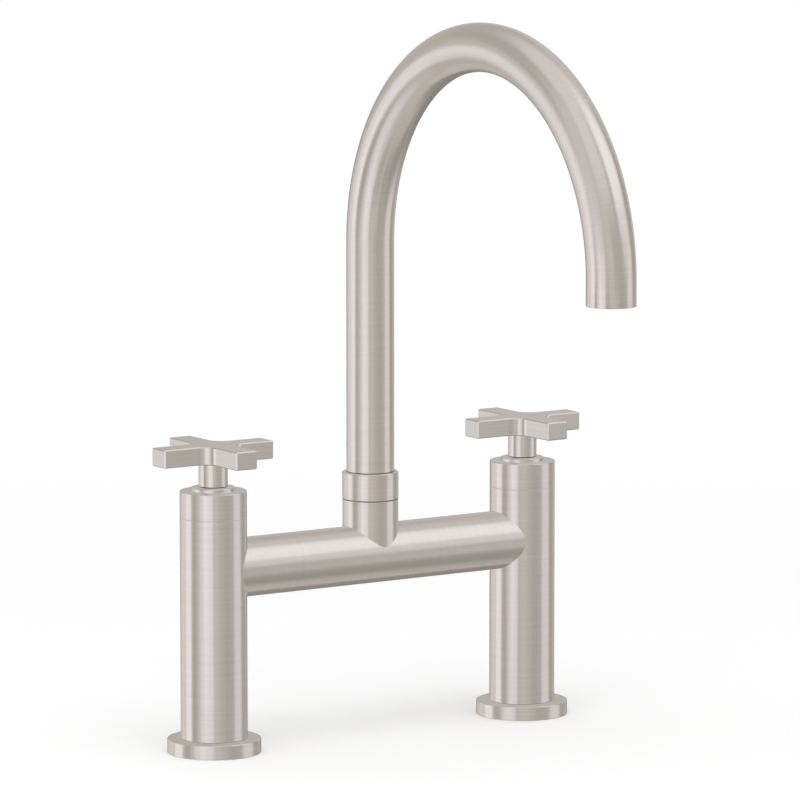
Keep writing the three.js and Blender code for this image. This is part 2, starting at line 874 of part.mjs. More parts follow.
// One column with its valve and handle. The side is +1 where the bridge lies towards +X.
function columnAssembly(water, side) {
  const column = new THREE.Group();
  column.position.x = (-side * columnSpacing) / 2;

  const handle = new THREE.Group();
  handle.add(
    piece(`${water}_moving_disc`, movingDisc(), 'ceramic'),
    piece(`${water}_spindle`, spindle(), 'brass'),
    piece(`${water}_spindle_o_ring`, spindleORing(), 'rubber'),
    piece(`${water}_handle_stem`, handleStem(), 'brushedNickel'),
    piece(`${water}_handle_screw`, handleScrew(), 'stainless'),
    piece(`${water}_cross_handle`, crossHandle(), 'brushedNickel'),
  );

  const union = new THREE.Group();
  union.position.z = bridgeHeight;
  union.rotation.y = (side * Math.PI) / 2;
  union.add(
    piece(`${water}_bridge_union`, bridgeUnion(), 'brass'),
    piece(`${water}_union_o_ring`, unionORing(), 'rubber'),
  );

  column.add(
    piece(`${water}_base_flange`, baseFlange(), 'brushedNickel'),
    piece(`${water}_base_gasket`, baseGasket(), 'rubber'),
    piece(`${water}_inlet_adapter`, inletAdapter(), 'brass'),
    piece(`${water}_supply_tube`, supplyTube(), 'copper'),
    piece(`${water}_column_shell`, columnShell(side), 'brushedNickel'),
    piece(`${water}_valve_body`, valveBody(side), 'brass'),
    piece(`${water}_seat_seal`, seatSeal(), 'rubber'),
    piece(`${water}_fixed_disc`, fixedDisc(), 'ceramic'),
    piece(`${water}_cartridge_body`, cartridgeBody(), 'brass'),
    piece(`${water}_cartridge_nut`, cartridgeNut(), 'brass'),
    piece(`${water}_column_cap`, columnCap(), 'brushedNickel'),
    handle,
    union,
  );
  return column;
}

function bridgeAssembly() {
  const bridge = new THREE.Group();
  bridge.add(
    piece('bridge_tube', bridgeTube(), 'brushedNickel'),
    piece('spout_boss', spoutBoss(), 'brushedNickel'),
    piece('retaining_screw', retainingScrew(), 'stainless'),
    piece('swivel_washer', swivelWasher(), 'plastic'),
  );
  return bridge;
}

function spoutAssembly() {
  const spout = new THREE.Group();
  const aerator = new THREE.Group();
  aerator.position.y = -spoutReach;
  aerator.add(
    piece('aerator_housing', aeratorHousing(), 'plastic'),
    piece('aerator_insert', aeratorInsert(), 'plastic'),
    piece('aerator_washer', aeratorWasher(), 'rubber'),
  );
  spout.add(
    piece('spout_spigot', spoutSpigot(), 'brass'),
    piece('spigot_o_ring_lower', spigotORing(0), 'rubber'),
    piece('spigot_o_ring_upper', spigotORing(1), 'rubber'),
    piece('spout_collar', spoutCollar(), 'brushedNickel'),
    piece('spout_tube', spoutTube(), 'brushedNickel'),
    aerator,
  );
  return spout;
}

const faucet = new THREE.Group();
faucet.add(
  columnAssembly('hot', 1),
  columnAssembly('cold', -1),
  bridgeAssembly(),
  spoutAssembly(),
);

export default faucet;
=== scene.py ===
# Bridge kitchen faucet in satin brushed nickel: two columns with cross handles, a bridge tube
# between them and a gooseneck spout that swivels on a boss in the middle of the bridge.
#
# Blender works in metres, +Z up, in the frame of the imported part. The sizes of the pieces are
# millimetres here, and the studio's are metres.

import json
import math

import bmesh
import bpy
from mathutils import Matrix, Vector

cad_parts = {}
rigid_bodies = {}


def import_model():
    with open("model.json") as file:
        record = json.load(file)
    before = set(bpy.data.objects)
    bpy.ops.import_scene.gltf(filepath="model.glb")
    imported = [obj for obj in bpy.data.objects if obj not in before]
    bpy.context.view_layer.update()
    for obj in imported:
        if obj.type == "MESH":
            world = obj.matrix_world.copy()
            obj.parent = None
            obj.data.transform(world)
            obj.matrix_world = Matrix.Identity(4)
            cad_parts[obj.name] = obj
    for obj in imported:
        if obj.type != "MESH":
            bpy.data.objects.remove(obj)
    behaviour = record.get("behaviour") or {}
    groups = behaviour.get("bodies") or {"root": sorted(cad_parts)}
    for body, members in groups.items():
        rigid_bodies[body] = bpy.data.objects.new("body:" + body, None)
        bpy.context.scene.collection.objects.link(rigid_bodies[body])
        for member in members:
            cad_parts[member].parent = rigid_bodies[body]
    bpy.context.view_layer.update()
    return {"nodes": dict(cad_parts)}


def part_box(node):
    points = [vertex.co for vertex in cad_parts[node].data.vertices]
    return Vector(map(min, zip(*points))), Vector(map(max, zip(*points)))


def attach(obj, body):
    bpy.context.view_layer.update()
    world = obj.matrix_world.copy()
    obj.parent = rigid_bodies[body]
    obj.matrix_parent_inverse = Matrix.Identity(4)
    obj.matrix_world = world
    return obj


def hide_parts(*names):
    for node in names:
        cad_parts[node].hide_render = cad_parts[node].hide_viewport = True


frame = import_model()


# ---- Camera ----
# A long lens from the front left, a little above the bridge, as a catalogue picture is taken:
# upright edges stay upright, and the far handle looks hardly smaller than the near one.


def add_object(name, data):
    """A new object in the scene, which shows this camera, lamp or mesh."""
    thing = bpy.data.objects.new(name, data)
    bpy.context.scene.collection.objects.link(thing)
    return thing


camera = add_object("camera", bpy.data.cameras.new("camera"))
camera.location = (-1.79403, -2.73632, 0.63701)
camera_tilt = 0.1372  # radians below the horizon
camera_turn = 0.58531  # radians from +Y towards +X
camera.rotation_euler = (math.pi / 2 - camera_tilt, 0, -camera_turn)
camera.data.sensor_width = 36
camera.data.lens = 270.73
bpy.context.scene.camera = camera


# ---- Studio ----
# A pale table in a white room, one large soft lamp overhead, and strip lights and grey flags
# in a ring round the faucet, which only the metal sees.

bpy.context.scene.view_settings.view_transform = "Standard"


def hex_colour(code):
    """A hex sRGB colour as linear RGBA."""
    parts = [int(code[at:at + 2], 16) / 255 for at in (1, 3, 5)]
    linear = [p / 12.92 if p <= 0.04045 else ((p + 0.055) / 1.055) ** 2.4 for p in parts]
    return (*linear, 1)


def add_node(tree, kind, settings=None, links=None):
    """A node with its settings, which are properties or plain inputs, and what feeds it, which
    is a socket, or a node for its first output."""
    node = tree.nodes.new(kind)
    for name, value in (settings or {}).items():
        if isinstance(name, str) and hasattr(node, name):
            setattr(node, name, value)
        else:
            node.inputs[name].default_value = value
    for name, source in (links or {}).items():
        tree.links.new(getattr(source, "outputs", [source])[0], node.inputs[name])
    return node


def new_material(name):
    """An empty node material and its tree."""
    material = bpy.data.materials.new(name)
    material.use_nodes = True
    material.node_tree.nodes.clear()
    return material, material.node_tree


def add_mesh(name, points, faces):
    """A new object in the scene, made of these points and faces."""
    mesh = bpy.data.meshes.new(name)
    mesh.from_pydata(points, [], faces)
    return add_object(name, mesh)


def light_card(name, colour, level):
    """Lit cloth that fades out at its foot and head: what a strip light or a flag shows."""
    material, tree = new_material(name)
    fade = add_node(tree, "ShaderNodeAttribute", {"attribute_name": "fade"})
    clear = add_node(tree, "ShaderNodeBsdfTransparent")
    glow = add_node(tree, "ShaderNodeEmission", {"Color": hex_colour(colour), "Strength": level})
    cloth = add_node(
        tree, "ShaderNodeMixShader", links={0: fade.outputs["Fac"], 1: clear, 2: glow},
    )
    add_node(tree, "ShaderNodeOutputMaterial", links={"Surface": cloth})
    material.cycles.emission_sampling = "NONE"
    return material


room_centre = Vector((0, 0, 0.15))
card_gap = 0.005  # from one card to the next behind it, as a share of its distance
card_fade = 8.0  # degrees over which the foot and the head fade out
card_rows = 10
card_column = 4  # degrees, the widest that one column of its faces is


def hang_card(order, name, reach, middle, width, low, high, lean, colour, level):
    """A card bent round the faucet, in degrees as seen from it: its middle and width, its foot
    and head, and how far it leans over from foot to head. A lower order hangs in front. It
    stands out of the picture and throws neither light nor shade."""
    distance = reach * (1 + card_gap * order)
    columns = math.ceil(width / card_column)
    start = low + card_fade if low > -90 else low
    end = high - card_fade if high < 90 else high
    rows = [(start + (end - start) * row / card_rows, 1.0) for row in range(card_rows + 1)]
    if start > low:
        rows.insert(0, (low, 0.0))
    if end < high:
        rows.append((high, 0.0))
    points = []
    for height, _ in rows:
        rise = math.radians(height)
        sway = lean * ((height - low) / (high - low) - 0.5)
        for column in range(columns + 1):
            angle = math.radians(middle + sway + width * (column / columns - 0.5))
            points.append(room_centre + distance * Vector((
                math.cos(rise) * math.cos(angle), math.cos(rise) * math.sin(angle), math.sin(rise),
            )))
    faces = [
        (at, at + 1, at + columns + 2, at + columns + 1)
        for at in range((len(rows) - 1) * (columns + 1)) if (at + 1) % (columns + 1)
    ]
    card = add_mesh(name, points, faces)
    fade = card.data.attributes.new("fade", "FLOAT", "POINT")
    for at in range(len(points)):
        fade.data[at].value = rows[at // (columns + 1)][1]
    card.data.materials.append(light_card(name, colour, level))
    card.visible_camera = card.visible_diffuse = card.visible_shadow = False


cool, grey = "#f7faff", "#fefffa"
near, far = 0.6, 3.0  # metres from the faucet: one soft box stands close by at the left
# Each card's name and reach, then in degrees its direction anticlockwise from +X, its width,
# foot, head and lean, and last its cloth and how bright it is.
cards = (
    ("near_box", near, -153.5, 13, -30, 18, 0, cool, 1.75),
    ("near_box_side", near, -139.7, 14.6, -30, 18, 0, cool, 1.59),
    ("near_box_edge", near, -166, 12, -60, 18, 0, cool, 1.36),
    ("near_sheet", near, -152.2, 39.6, -64, 64, 0, cool, 1.15),
    ("left_box", far, 145, 28, -32, 18, 27, cool, 1.72),
    ("left_box_side", far, 122, 26, -18, 14, 37, cool, 1.45),
    ("front_box_foot", far, -179, 50, -68, -24, 36, cool, 1.38),
    ("left_flag", far, 167, 28, -42, 2, -12, grey, 0.65),
    ("front_flag", far, -121, 30, -32, 24, -30, grey, 1.03),
    ("front_flag_dark", far, -71, 34, -48, 6, 18, grey, 0.74),
    ("front_low_flag", far, -137, 74, -66, -4, 0, grey, 0.74),
    ("right_box", far, -38, 36, -30, 26, -39, cool, 1.37),
    ("right_low_flag", far, -41, 104, -60, -18, 0, grey, 0.57),
    ("right_top_box", far, -43, 60, 18, 70, 3, cool, 1.81),
    ("right_side_flag", far, -5, 32, -20, 42, -12, grey, 0.68),
    ("right_flag", far, 52, 48, -44, 11, 30, grey, 0.41),
    ("right_grey", far, 8, 24, -18, 4, -12, grey, 0.96),
    ("right_flag_low", far, 38, 46, -70, -12, -21, grey, 0.49),
    ("back_strip", far, 80, 28, -54, 8, -24, grey, 1.02),
    ("back_flag", far, 90, 60, 0, 32, 0, grey, 0.93),
    ("back_high_flag", far, 110, 136, 22, 62, -39, grey, 0.78),
    ("left_low_box", far, 114, 42, -66, -16, -18, grey, 0.85),
    ("left_low_flag", far, 150, 40, -70, -18, 0, grey, 1.01),
    ("front_top_box", far, -121, 58, 24, 70, -18, cool, 1.34),
    ("front_mid_flag", far, -103, 78, -16, 44, -6, grey, 0.79),
    ("top_box", far, 0, 360, 58, 90, 0, cool, 1.31),
    ("table_flag", far, 0, 360, -90, -58, 0, grey, 0.94),
)
for order, card in enumerate(cards):
    hang_card(order, *card)

lamp = add_object("overhead_lamp", bpy.data.lights.new("overhead_lamp", "AREA"))
lamp.data.shape = "RECTANGLE"
lamp.data.size = 1.8
lamp.data.size_y = 1.4
lamp.data.energy = 14
lamp.location = (-0.5, -0.7, 2.2)
lamp.rotation_euler = (room_centre - lamp.location).to_track_quat("-Z", "Y").to_euler()
lamp.visible_camera = lamp.visible_glossy = False

room_level = 0.74  # what the white walls give to plain surfaces
world = bpy.data.worlds.new("white_room")
world.use_nodes = True
room = world.node_tree
room.nodes.clear()
bpy.context.scene.world = world
rays = add_node(room, "ShaderNodeLightPath").outputs
seen = rays["Is Camera Ray"]
for ray in (rays["Is Glossy Ray"], rays["Is Transmission Ray"]):
    seen = add_node(
        room, "ShaderNodeMath", {"operation": "ADD", "use_clamp": True}, {0: seen, 1: ray},
    )
strength = add_node(
    room, "ShaderNodeMapRange", {"To Min": room_level, "To Max": 1.0}, {"Value": seen},
)
walls = add_node(room, "ShaderNodeBackground", {"Color": (1, 1, 1, 1)}, {"Strength": strength})
add_node(room, "ShaderNodeOutputWorld", links={"Surface": walls})

table_radius = 4.0
table_sides = 64
table_fade = (0.30, 1.1)  # from the faucet, where the table melts into the white room
table_lift = 0.15  # brings the plain table up to the white of the room, for the camera only


def painted_table():
    """Matt white paint that takes the soft shadow and melts into the white room."""
    material, tree = new_material("matt_white_table")
    place = add_node(tree, "ShaderNodeTexCoord").outputs["Object"]
    distance = add_node(tree, "ShaderNodeVectorMath", {"operation": "LENGTH"}, {0: place})
    fade = add_node(
        tree, "ShaderNodeMapRange",
        {"interpolation_type": "SMOOTHSTEP", "From Min": table_fade[0], "From Max": table_fade[1]},
        {"Value": distance.outputs["Value"]},
    )
    paint = add_node(tree, "ShaderNodeBsdfDiffuse", {"Color": hex_colour("#f7f7f7")})
    glow = add_node(tree, "ShaderNodeEmission", {"Color": (1, 1, 1, 1), "Strength": 1.0})
    ray = add_node(tree, "ShaderNodeLightPath")
    lift = add_node(
        tree, "ShaderNodeMath", {"operation": "MULTIPLY", 1: table_lift},
        {0: ray.outputs["Is Camera Ray"]},
    )
    lifted = add_node(tree, "ShaderNodeEmission", links={"Strength": lift})
    lit_paint = add_node(tree, "ShaderNodeAddShader", links={0: paint, 1: lifted})
    both = add_node(tree, "ShaderNodeMixShader", links={0: fade, 1: lit_paint, 2: glow})
    add_node(tree, "ShaderNodeOutputMaterial", links={"Surface": both})
    material.cycles.emission_sampling = "NONE"
    return material


rim = [2 * math.pi * side / table_sides for side in range(table_sides)]
table = add_mesh(
    "table", [(table_radius * math.cos(a), table_radius * math.sin(a), 0) for a in rim],
    [tuple(range(table_sides))],
)
table.data.materials.append(painted_table())
table.visible_glossy = False


# ---- Base flanges ----
# A turned brass disc under each column, plated in nickel and brushed round, with a groove
# underneath for the gasket. The foot of the inlet adapter centres it.

MM = 0.001  # metres


def node_box(node):
    """A node's lowest and highest corner in millimetres."""
    low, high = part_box(node)
    return low / MM, high / MM


def node_middle(node):
    """The middle of a node's box."""
    low, high = node_box(node)
    return (low + high) / 2


def node_radius(node):
    """Half of a round node's width."""
    low, high = node_box(node)
    return (high.x - low.x) / 2


column_axis = {
    water: (node_middle(f"{water}_column_shell").x, 0) for water in ("hot", "cold")
}


def rounded(outline, radius=0.12, steps=4):
    """A closed outline with its corners broken to arcs. A corner may bring its own radius.

    A point just before and after each arc holds the flats flat when the faces are smoothed.
    """
    hold = 0.05  # from an arc to that point
    share = 0.45  # of a side, the most that one of its corners takes
    points = []
    for index, (x, y, *own) in enumerate(outline):
        corner = Vector((x, y))
        before = corner - Vector(outline[index - 1][:2])
        after = Vector(outline[(index + 1) % len(outline)][:2]) - corner
        room = share * min(before.length, after.length)
        before.normalize()
        after.normalize()
        turn = math.atan2(before.cross(after), before.dot(after))
        wanted = own[0] if own else radius
        setback = min(wanted * math.tan(abs(turn) / 2), room)
        if setback < 1e-6 or x == 0:
            points.append(corner)
            continue
        start = corner - before * setback
        side = Vector((-before.y, before.x)) * math.copysign(1, turn)
        centre = start + side * setback / math.tan(abs(turn) / 2)
        points.append(start - before * min(hold, room / 4))
        for step in range(steps + 1):
            arm = start - centre
            arm.rotate(Matrix.Rotation(turn * step / steps, 2))
            points.append(centre + arm)
        points.append(corner + after * (setback + min(hold, room / 4)))
    return points


def skin(rings):
    """The faces between each ring of points and the next. A ring that is one point over and
    over is a pole."""
    faces = []
    for lower, upper in zip(rings, rings[1:]):
        for at in range(len(lower)):
            after = (at + 1) % len(lower)
            corners = tuple(dict.fromkeys((lower[at], lower[after], upper[after], upper[at])))
            if len(corners) > 2:
                faces.append(corners)
    return faces


def turned(name, outline, axis=(0, 0), sides=160):
    """A piece turned about an upright axis from its closed half section, anticlockwise.

    A point's level may be a function of radius and angle, for an end that is coped.
    """
    points, rings = [], []
    for radius, level in outline:
        around = sides if radius > 0 else 1
        rings.append([len(points) + side for side in range(around)] * (sides // around))
        for side in range(around):
            angle = 2 * math.pi * side / sides
            x = axis[0] + radius * math.cos(angle)
            y = axis[1] + radius * math.sin(angle)
            z = level(radius, angle) if callable(level) else level
            points.append((x * MM, y * MM, z * MM))
    return add_mesh(name, points, skin([*rings, rings[0]]))


def brush(piece, run):
    """Stores on each vertex which way its brush lines run, and its place among them in mm."""
    mesh = piece.data
    lay = mesh.attributes.new("lay", "FLOAT_VECTOR", "POINT")
    lines = mesh.attributes.new("lines", "FLOAT_VECTOR", "POINT")
    for vertex in mesh.vertices:
        direction, place = run(vertex.co / MM, vertex.normal)
        lay.data[vertex.index].vector = direction
        lines.data[vertex.index].vector = place


def round_upright(x=0, y=0):
    """Walls are brushed while they turn about an upright axis, flat faces straight along X."""
    flat = 0.95  # how upright a flat face's normal is at least

    def run(at, normal):
        if abs(normal.z) > flat:
            return Vector((1, 0, 0)), Vector((at.x, at.z, at.y))
        arm = Vector((at.x - x, at.y - y, 0))
        direction = Vector((-arm.y, arm.x, 0)).normalized()
        return direction, Vector((arm.x, arm.y, at.z + arm.length))
    return run


def smooth(piece):
    """Smooth faces that break only at edges sharper than the arcs of a rounded corner."""
    crease = math.radians(35)
    piece.data.shade_smooth()
    piece.data.set_sharp_from_angle(angle=crease)
    return piece


def finished(tree, tone, span, tones, roughs, relief, strength, depth, gloss, links=None):
    """The surface in which a metal, plastic or rubber ends. One noise takes its tone over a
    span from one colour to the other, and another stands up from it by a depth in mm. Its
    roughness is the sum of what each noise in roughs swings about a middle."""
    low, high = 0.3, 0.7  # what a noise keeps to, but for its rare peaks
    colour = add_node(tree, "ShaderNodeValToRGB", links={"Fac": tone})
    for element, position, code in zip(colour.color_ramp.elements, span, tones):
        element.position = position
        element.color = hex_colour(code)
    bump = add_node(
        tree, "ShaderNodeBump", {"Strength": strength, "Distance": depth * MM},
        {"Height": relief},
    )
    rough = None
    for noise, middle, swing in roughs:
        part = add_node(
            tree, "ShaderNodeMapRange",
            {"From Min": low, "From Max": high, "To Min": middle - swing, "To Max": middle + swing},
            {"Value": noise},
        )
        if rough:
            part = add_node(tree, "ShaderNodeMath", {"operation": "ADD"}, {0: rough, 1: part})
        rough = part
    surface = add_node(
        tree, "ShaderNodeBsdfPrincipled", gloss,
        {"Base Color": colour, "Roughness": rough, "Normal": bump, **(links or {})},
    )
    add_node(tree, "ShaderNodeOutputMaterial", links={"Surface": surface})


# Satin brushed nickel: brass plated in nickel and brushed with a fine belt. The lines spread a
# highlight across themselves and keep it crisp along themselves, so each tube shows soft
# upright bands, with fine warm-grey streaks.
def brushed_nickel():
    streak = 60.0  # mm, how far one scratch runs
    scratch = 0.75  # mm apart, where the real ones are 0.1: as coarse as the picture needs
    wipe = 26.0  # mm, slow change in how deep the belt bit
    roughness = 0.263
    fine_swing = 0.005
    broad_swing = 0.004
    material, tree = new_material("satin_brushed_nickel")
    lines = add_node(tree, "ShaderNodeAttribute", {"attribute_name": "lines"})
    noises = []
    for scale, detail in (
        ((1 / streak, 1 / streak, 1 / scratch), 1.0),
        ((1 / wipe, 1 / wipe, 4 / wipe), 2.0),
    ):
        place = add_node(
            tree, "ShaderNodeMapping", {"Scale": scale}, {"Vector": lines.outputs["Vector"]},
        )
        noises.append(add_node(
            tree, "ShaderNodeTexNoise", {"Scale": 1.0, "Detail": detail}, {"Vector": place},
        ))
    fine, broad = noises
    lay = add_node(tree, "ShaderNodeAttribute", {"attribute_name": "lay"})
    lay_world = add_node(
        tree, "ShaderNodeVectorTransform",
        {"vector_type": "VECTOR", "convert_from": "OBJECT", "convert_to": "WORLD"},
        {"Vector": lay.outputs["Vector"]},
    )
    finished(
        tree, fine, (0.3, 0.7), ("#bbb2ac", "#bfb6b0"),
        ((fine, roughness, fine_swing), (broad, 0.0, broad_swing)),
        relief=fine, strength=0.03, depth=0.02, links={"Tangent": lay_world},
        gloss={
            "Metallic": 1.0, "Anisotropic": 0.78, "Anisotropic Rotation": 0.25,
            "Specular Tint": hex_colour("#f1eeeb"),
        },
    )
    return material


nickel = brushed_nickel()


def fit(piece, material, body, node):
    """The finished piece gets its material, rides on its body and stands for its CAD node."""
    piece.data.materials.clear()
    piece.data.materials.append(material)
    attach(piece, body)
    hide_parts(node)


foot_radius = 12.0  # of the inlet adapter
foot_gap = 0.3
flange_edge = 0.1
flange_foot_round = 0.3
flange_top_round = 0.5
gasket_gap = 0.3
gasket_top_gap = 0.1
for water, axis in column_axis.items():
    rim_radius = node_radius(f"{water}_base_flange")
    thickness = node_box(f"{water}_base_flange")[1].z
    bore = foot_radius + foot_gap
    groove_outer = node_radius(f"{water}_base_gasket") + gasket_gap
    groove_inner = bore + rim_radius - groove_outer
    groove_top = node_box(f"{water}_base_gasket")[1].z + gasket_top_gap
    outline = [
        (bore, 0),
        (groove_inner, 0),
        (groove_inner, groove_top),
        (groove_outer, groove_top),
        (groove_outer, 0),
        (rim_radius, 0, flange_foot_round),
        (rim_radius, thickness, flange_top_round),
        (bore, thickness),
    ]
    flange = turned(f"{water}_flange", rounded(outline, flange_edge, 5), axis)
    fit(smooth(flange), nickel, "faucet_body", f"{water}_base_flange")
    brush(flange, round_upright(*axis))


# ---- Columns ----
# Each column's outer shell is a length of brass tube with a port for the bridge's union,
# plated and brushed round. It stands on the flange, where painted shade draws a thin dark
# line, and hides the valve.

column_wall = 2.8
column_foot_shade = 0.2  # the width of that painted shade line
column_radius = node_radius("hot_column_shell")
port_radius = 9.1
bridge_axis = node_middle("bridge_tube").z
past = 1.0  # how far a drill or a dark band goes past the end of a piece


def settle(piece):
    """The piece takes the mesh that its modifiers make, and keeps none of them."""
    evaluated = piece.evaluated_get(bpy.context.evaluated_depsgraph_get())
    mesh = bpy.data.meshes.new_from_object(evaluated)
    piece.modifiers.clear()
    piece.data = mesh
    return piece


def drilled(piece, rod):
    """The piece with a hole where the rod of a drill stood. The rod is thrown away."""
    hole = piece.modifiers.new("hole", "BOOLEAN")
    hole.operation = "DIFFERENCE"
    hole.solver = "EXACT"
    hole.object = rod
    settle(piece)
    bpy.data.objects.remove(rod)
    return piece


def drill(radius, start, toward, length, sides=48):
    """A rod from start, along a direction, of a length in mm."""
    rod = turned("drill", [(0, 0), (radius, 0), (radius, length), (0, length)], sides=sides)
    turn = Vector(toward).to_track_quat("Z", "Y").to_matrix().to_4x4()
    rod.data.transform(Matrix.Translation(Vector(start) * MM) @ turn)
    return rod


def machined(name, dark, light, roughness, feed, lay):
    """A turned or drawn surface: fine tool lines a feed apart in mm, whose lay is a scale along
    each axis, and a slow change of tone from handling."""
    patch = 9.0  # mm, from a dull place to a bright one
    swing = 0.06
    material, tree = new_material(name)
    place = add_node(tree, "ShaderNodeTexCoord").outputs["Object"]
    tool_place = add_node(
        tree, "ShaderNodeMapping", {"Scale": [s / (feed * MM) for s in lay]}, {"Vector": place},
    )
    tool = add_node(
        tree, "ShaderNodeTexNoise", {"Scale": 1.0, "Detail": 2.0}, {"Vector": tool_place},
    )
    tarnish = add_node(
        tree, "ShaderNodeTexNoise", {"Scale": 1 / (patch * MM), "Detail": 4.0}, {"Vector": place},
    )
    finished(
        tree, tarnish, (0.32, 0.68), (dark, light), ((tool, roughness, swing),),
        relief=tool, strength=0.3, depth=0.02, gloss={"Metallic": 1.0},
    )
    return material


# Dull dark nickel as painted shade: at the mouth of each joint, on the cap's lip and under each
# cross, where shade falls in a narrow gap, so that each joint is drawn as a thin dark line.
seam_shade_nickel = machined("painted_seam_shade_nickel", "#4d4640", "#655d56", 0.5, 0.3, (0.04, 0.04, 1))


def paint_seam_shade(piece, low, high):
    """A band round a piece, between two levels in millimetres, is painted shade, not brushed."""
    if seam_shade_nickel.name not in piece.data.materials:
        piece.data.materials.append(seam_shade_nickel)
    mesh = bmesh.new()
    mesh.from_mesh(piece.data)
    for level in (low, high):
        bmesh.ops.bisect_plane(
            mesh, geom=mesh.verts[:] + mesh.edges[:] + mesh.faces[:],
            plane_co=(0, 0, level * MM), plane_no=(0, 0, 1),
        )
    for face in mesh.faces:
        if low < face.calc_center_median().z / MM < high:
            face.material_index = 1
    mesh.to_mesh(piece.data)
    mesh.free()


def plate(piece, body, node, run, *shade_bands):
    """The finished piece is plated, its bands of painted shade stay dark, and the rest is brushed.
    """
    fit(smooth(piece), nickel, body, node)
    # Each band is painted shade, where shade falls at a joint or under the piece.
    for low, high in shade_bands:
        paint_seam_shade(piece, low, high)
    brush(piece, run)


for water, axis in column_axis.items():
    low, high = node_box(f"{water}_column_shell")
    outline = [
        (column_radius - column_wall, low.z),
        (column_radius, low.z),
        (column_radius, high.z),
        (column_radius - column_wall, high.z),
    ]
    column = turned(f"{water}_column", rounded(outline, steps=3), axis)
    port = drill(port_radius, (*axis, bridge_axis), (-axis[0], 0, 0), column_radius + past)
    # The column's foot gets a band of painted shade, where it stands on the flange.
    plate(
        drilled(column, port), "faucet_body", f"{water}_column_shell", round_upright(*axis),
        (low.z - past, low.z + column_foot_shade),
    )


# ---- Inlet, valve and cartridge inside each column ----
# Turned brass bodies, a copper supply tube, lapped ceramic discs and rubber seals, pressed and
# screwed together. The solids of the part stay as they are and get their own materials.


def moulded(name, dark, light, roughness, grain, ior, depth):
    """A moulded or pressed surface: even colour with a fine grain from the mould, in mm."""
    swing = 0.05
    material, tree = new_material(name)
    place = add_node(tree, "ShaderNodeTexCoord")
    fine = add_node(
        tree, "ShaderNodeTexNoise", {"Scale": 1 / (grain * MM), "Detail": 5.0, "Roughness": 0.65},
        {"Vector": place.outputs["Object"]},
    )
    finished(
        tree, fine, (0.35, 0.65), (dark, light), ((fine, roughness, swing),),
        relief=fine, strength=0.4, depth=depth, gloss={"Metallic": 0.0, "IOR": ior},
    )
    return material


def dress(material, *nodes):
    """The part's own solids keep their shape and get this material in every slot."""
    for node in nodes:
        for slot in frame["nodes"][node].material_slots:
            slot.material = material


# Free-cutting brass off the lathe: rings of the tool 0.3 mm apart, a little dulled in patches.
turned_brass = machined("turned_brass", "#a88a48", "#c9aa62", 0.34, 0.3, (0.04, 0.04, 1))
# Drawn copper tube: faint lines along it and a warm brown bloom.
drawn_copper = machined("drawn_copper", "#99603f", "#bd7a53", 0.38, 0.3, (1, 1, 0.03))
# Sintered alumina, lapped flat: dense off-white with the finest grain and a low sheen.
lapped_ceramic = moulded("lapped_alumina", "#e2ddd4", "#ece8e1", 0.22, 0.4, 1.76, 0.004)
# Moulded nitrile rubber: near black, matt, with a fine skin.
nitrile_rubber = moulded("nitrile_rubber", "#161615", "#242423", 0.78, 0.6, 1.52, 0.03)

for water in column_axis:
    dress(
        turned_brass, f"{water}_inlet_adapter", f"{water}_valve_body", f"{water}_cartridge_body",
        f"{water}_cartridge_nut", f"{water}_spindle", f"{water}_bridge_union",
    )
    dress(drawn_copper, f"{water}_supply_tube")
    dress(lapped_ceramic, f"{water}_fixed_disc", f"{water}_moving_disc")
    dress(
        nitrile_rubber, f"{water}_base_gasket", f"{water}_seat_seal",
        f"{water}_spindle_o_ring", f"{water}_union_o_ring",
    )


# ---- Column caps ----
# A turned brass cap screwed into the top of each column, flush with it at a hairline seam
# that painted shade draws dark. A raised ring with a rounded edge carries the eye up to the
# handle's stem.

cap_spigot_wall = 1.5
cap_fit = 0.3
cap_roof = 4.0
cap_seam = 129.24  # the level of the hairline seam
# How far over the seam the painted shade of the hairline seam reaches.
cap_seam_shade = 0.08
cap_top_round = 0.45
cap_ring_radius = 12.2
cap_ring_height = 2.0
cap_ring_draft = 0.3  # from the ring's foot to its top
cap_ring_foot_round = 0.15
cap_ring_top_round = 0.4
cap_hole = 6.5
cap_lip = 7.3  # a low lip under the stem, which keeps water out
cap_lip_gap = 0.06
cap_lip_shade = 0.02  # over the ring, where the painted shade on the lip begins
stem_foot_gap = 0.2  # over the ring, so that the handle turns freely
cap_face_drop = 1.6  # from the top of the solid cap to the flat round the ring
cap_face = node_box("hot_column_cap")[1].z - cap_face_drop
ring_top = cap_face + cap_ring_height
lip_top = ring_top + stem_foot_gap - cap_lip_gap

for water, axis in column_axis.items():
    low = node_box(f"{water}_column_cap")[0]
    cap_radius = node_radius(f"{water}_column_cap")
    spigot = cap_radius - column_wall - cap_fit
    outline = [
        (spigot - cap_spigot_wall, low.z),
        (spigot, low.z),
        (spigot, cap_seam),
        (cap_radius, cap_seam),
        (cap_radius, cap_face, cap_top_round),
        (cap_ring_radius, cap_face, cap_ring_foot_round),
        (cap_ring_radius - cap_ring_draft, ring_top, cap_ring_top_round),
        (cap_lip, ring_top),
        (cap_lip, lip_top),
        (cap_hole, lip_top),
        (cap_hole, cap_face - cap_roof),
        (spigot - cap_spigot_wall, cap_face - cap_roof),
    ]
    cap = turned(f"{water}_cap", rounded(outline), axis)
    # The hairline seam and the lip under the stem get painted shade.
    plate(
        cap, "faucet_body", f"{water}_column_cap", round_upright(*axis),
        (low.z - past, cap_seam + cap_seam_shade), (ring_top + cap_lip_shade, lip_top + past),
    )


# ---- Handle stems and their grub screws ----
# A turned stem slides over the cartridge's spindle. A small hexagon-socket grub screw at the
# back of it grips the spindle.

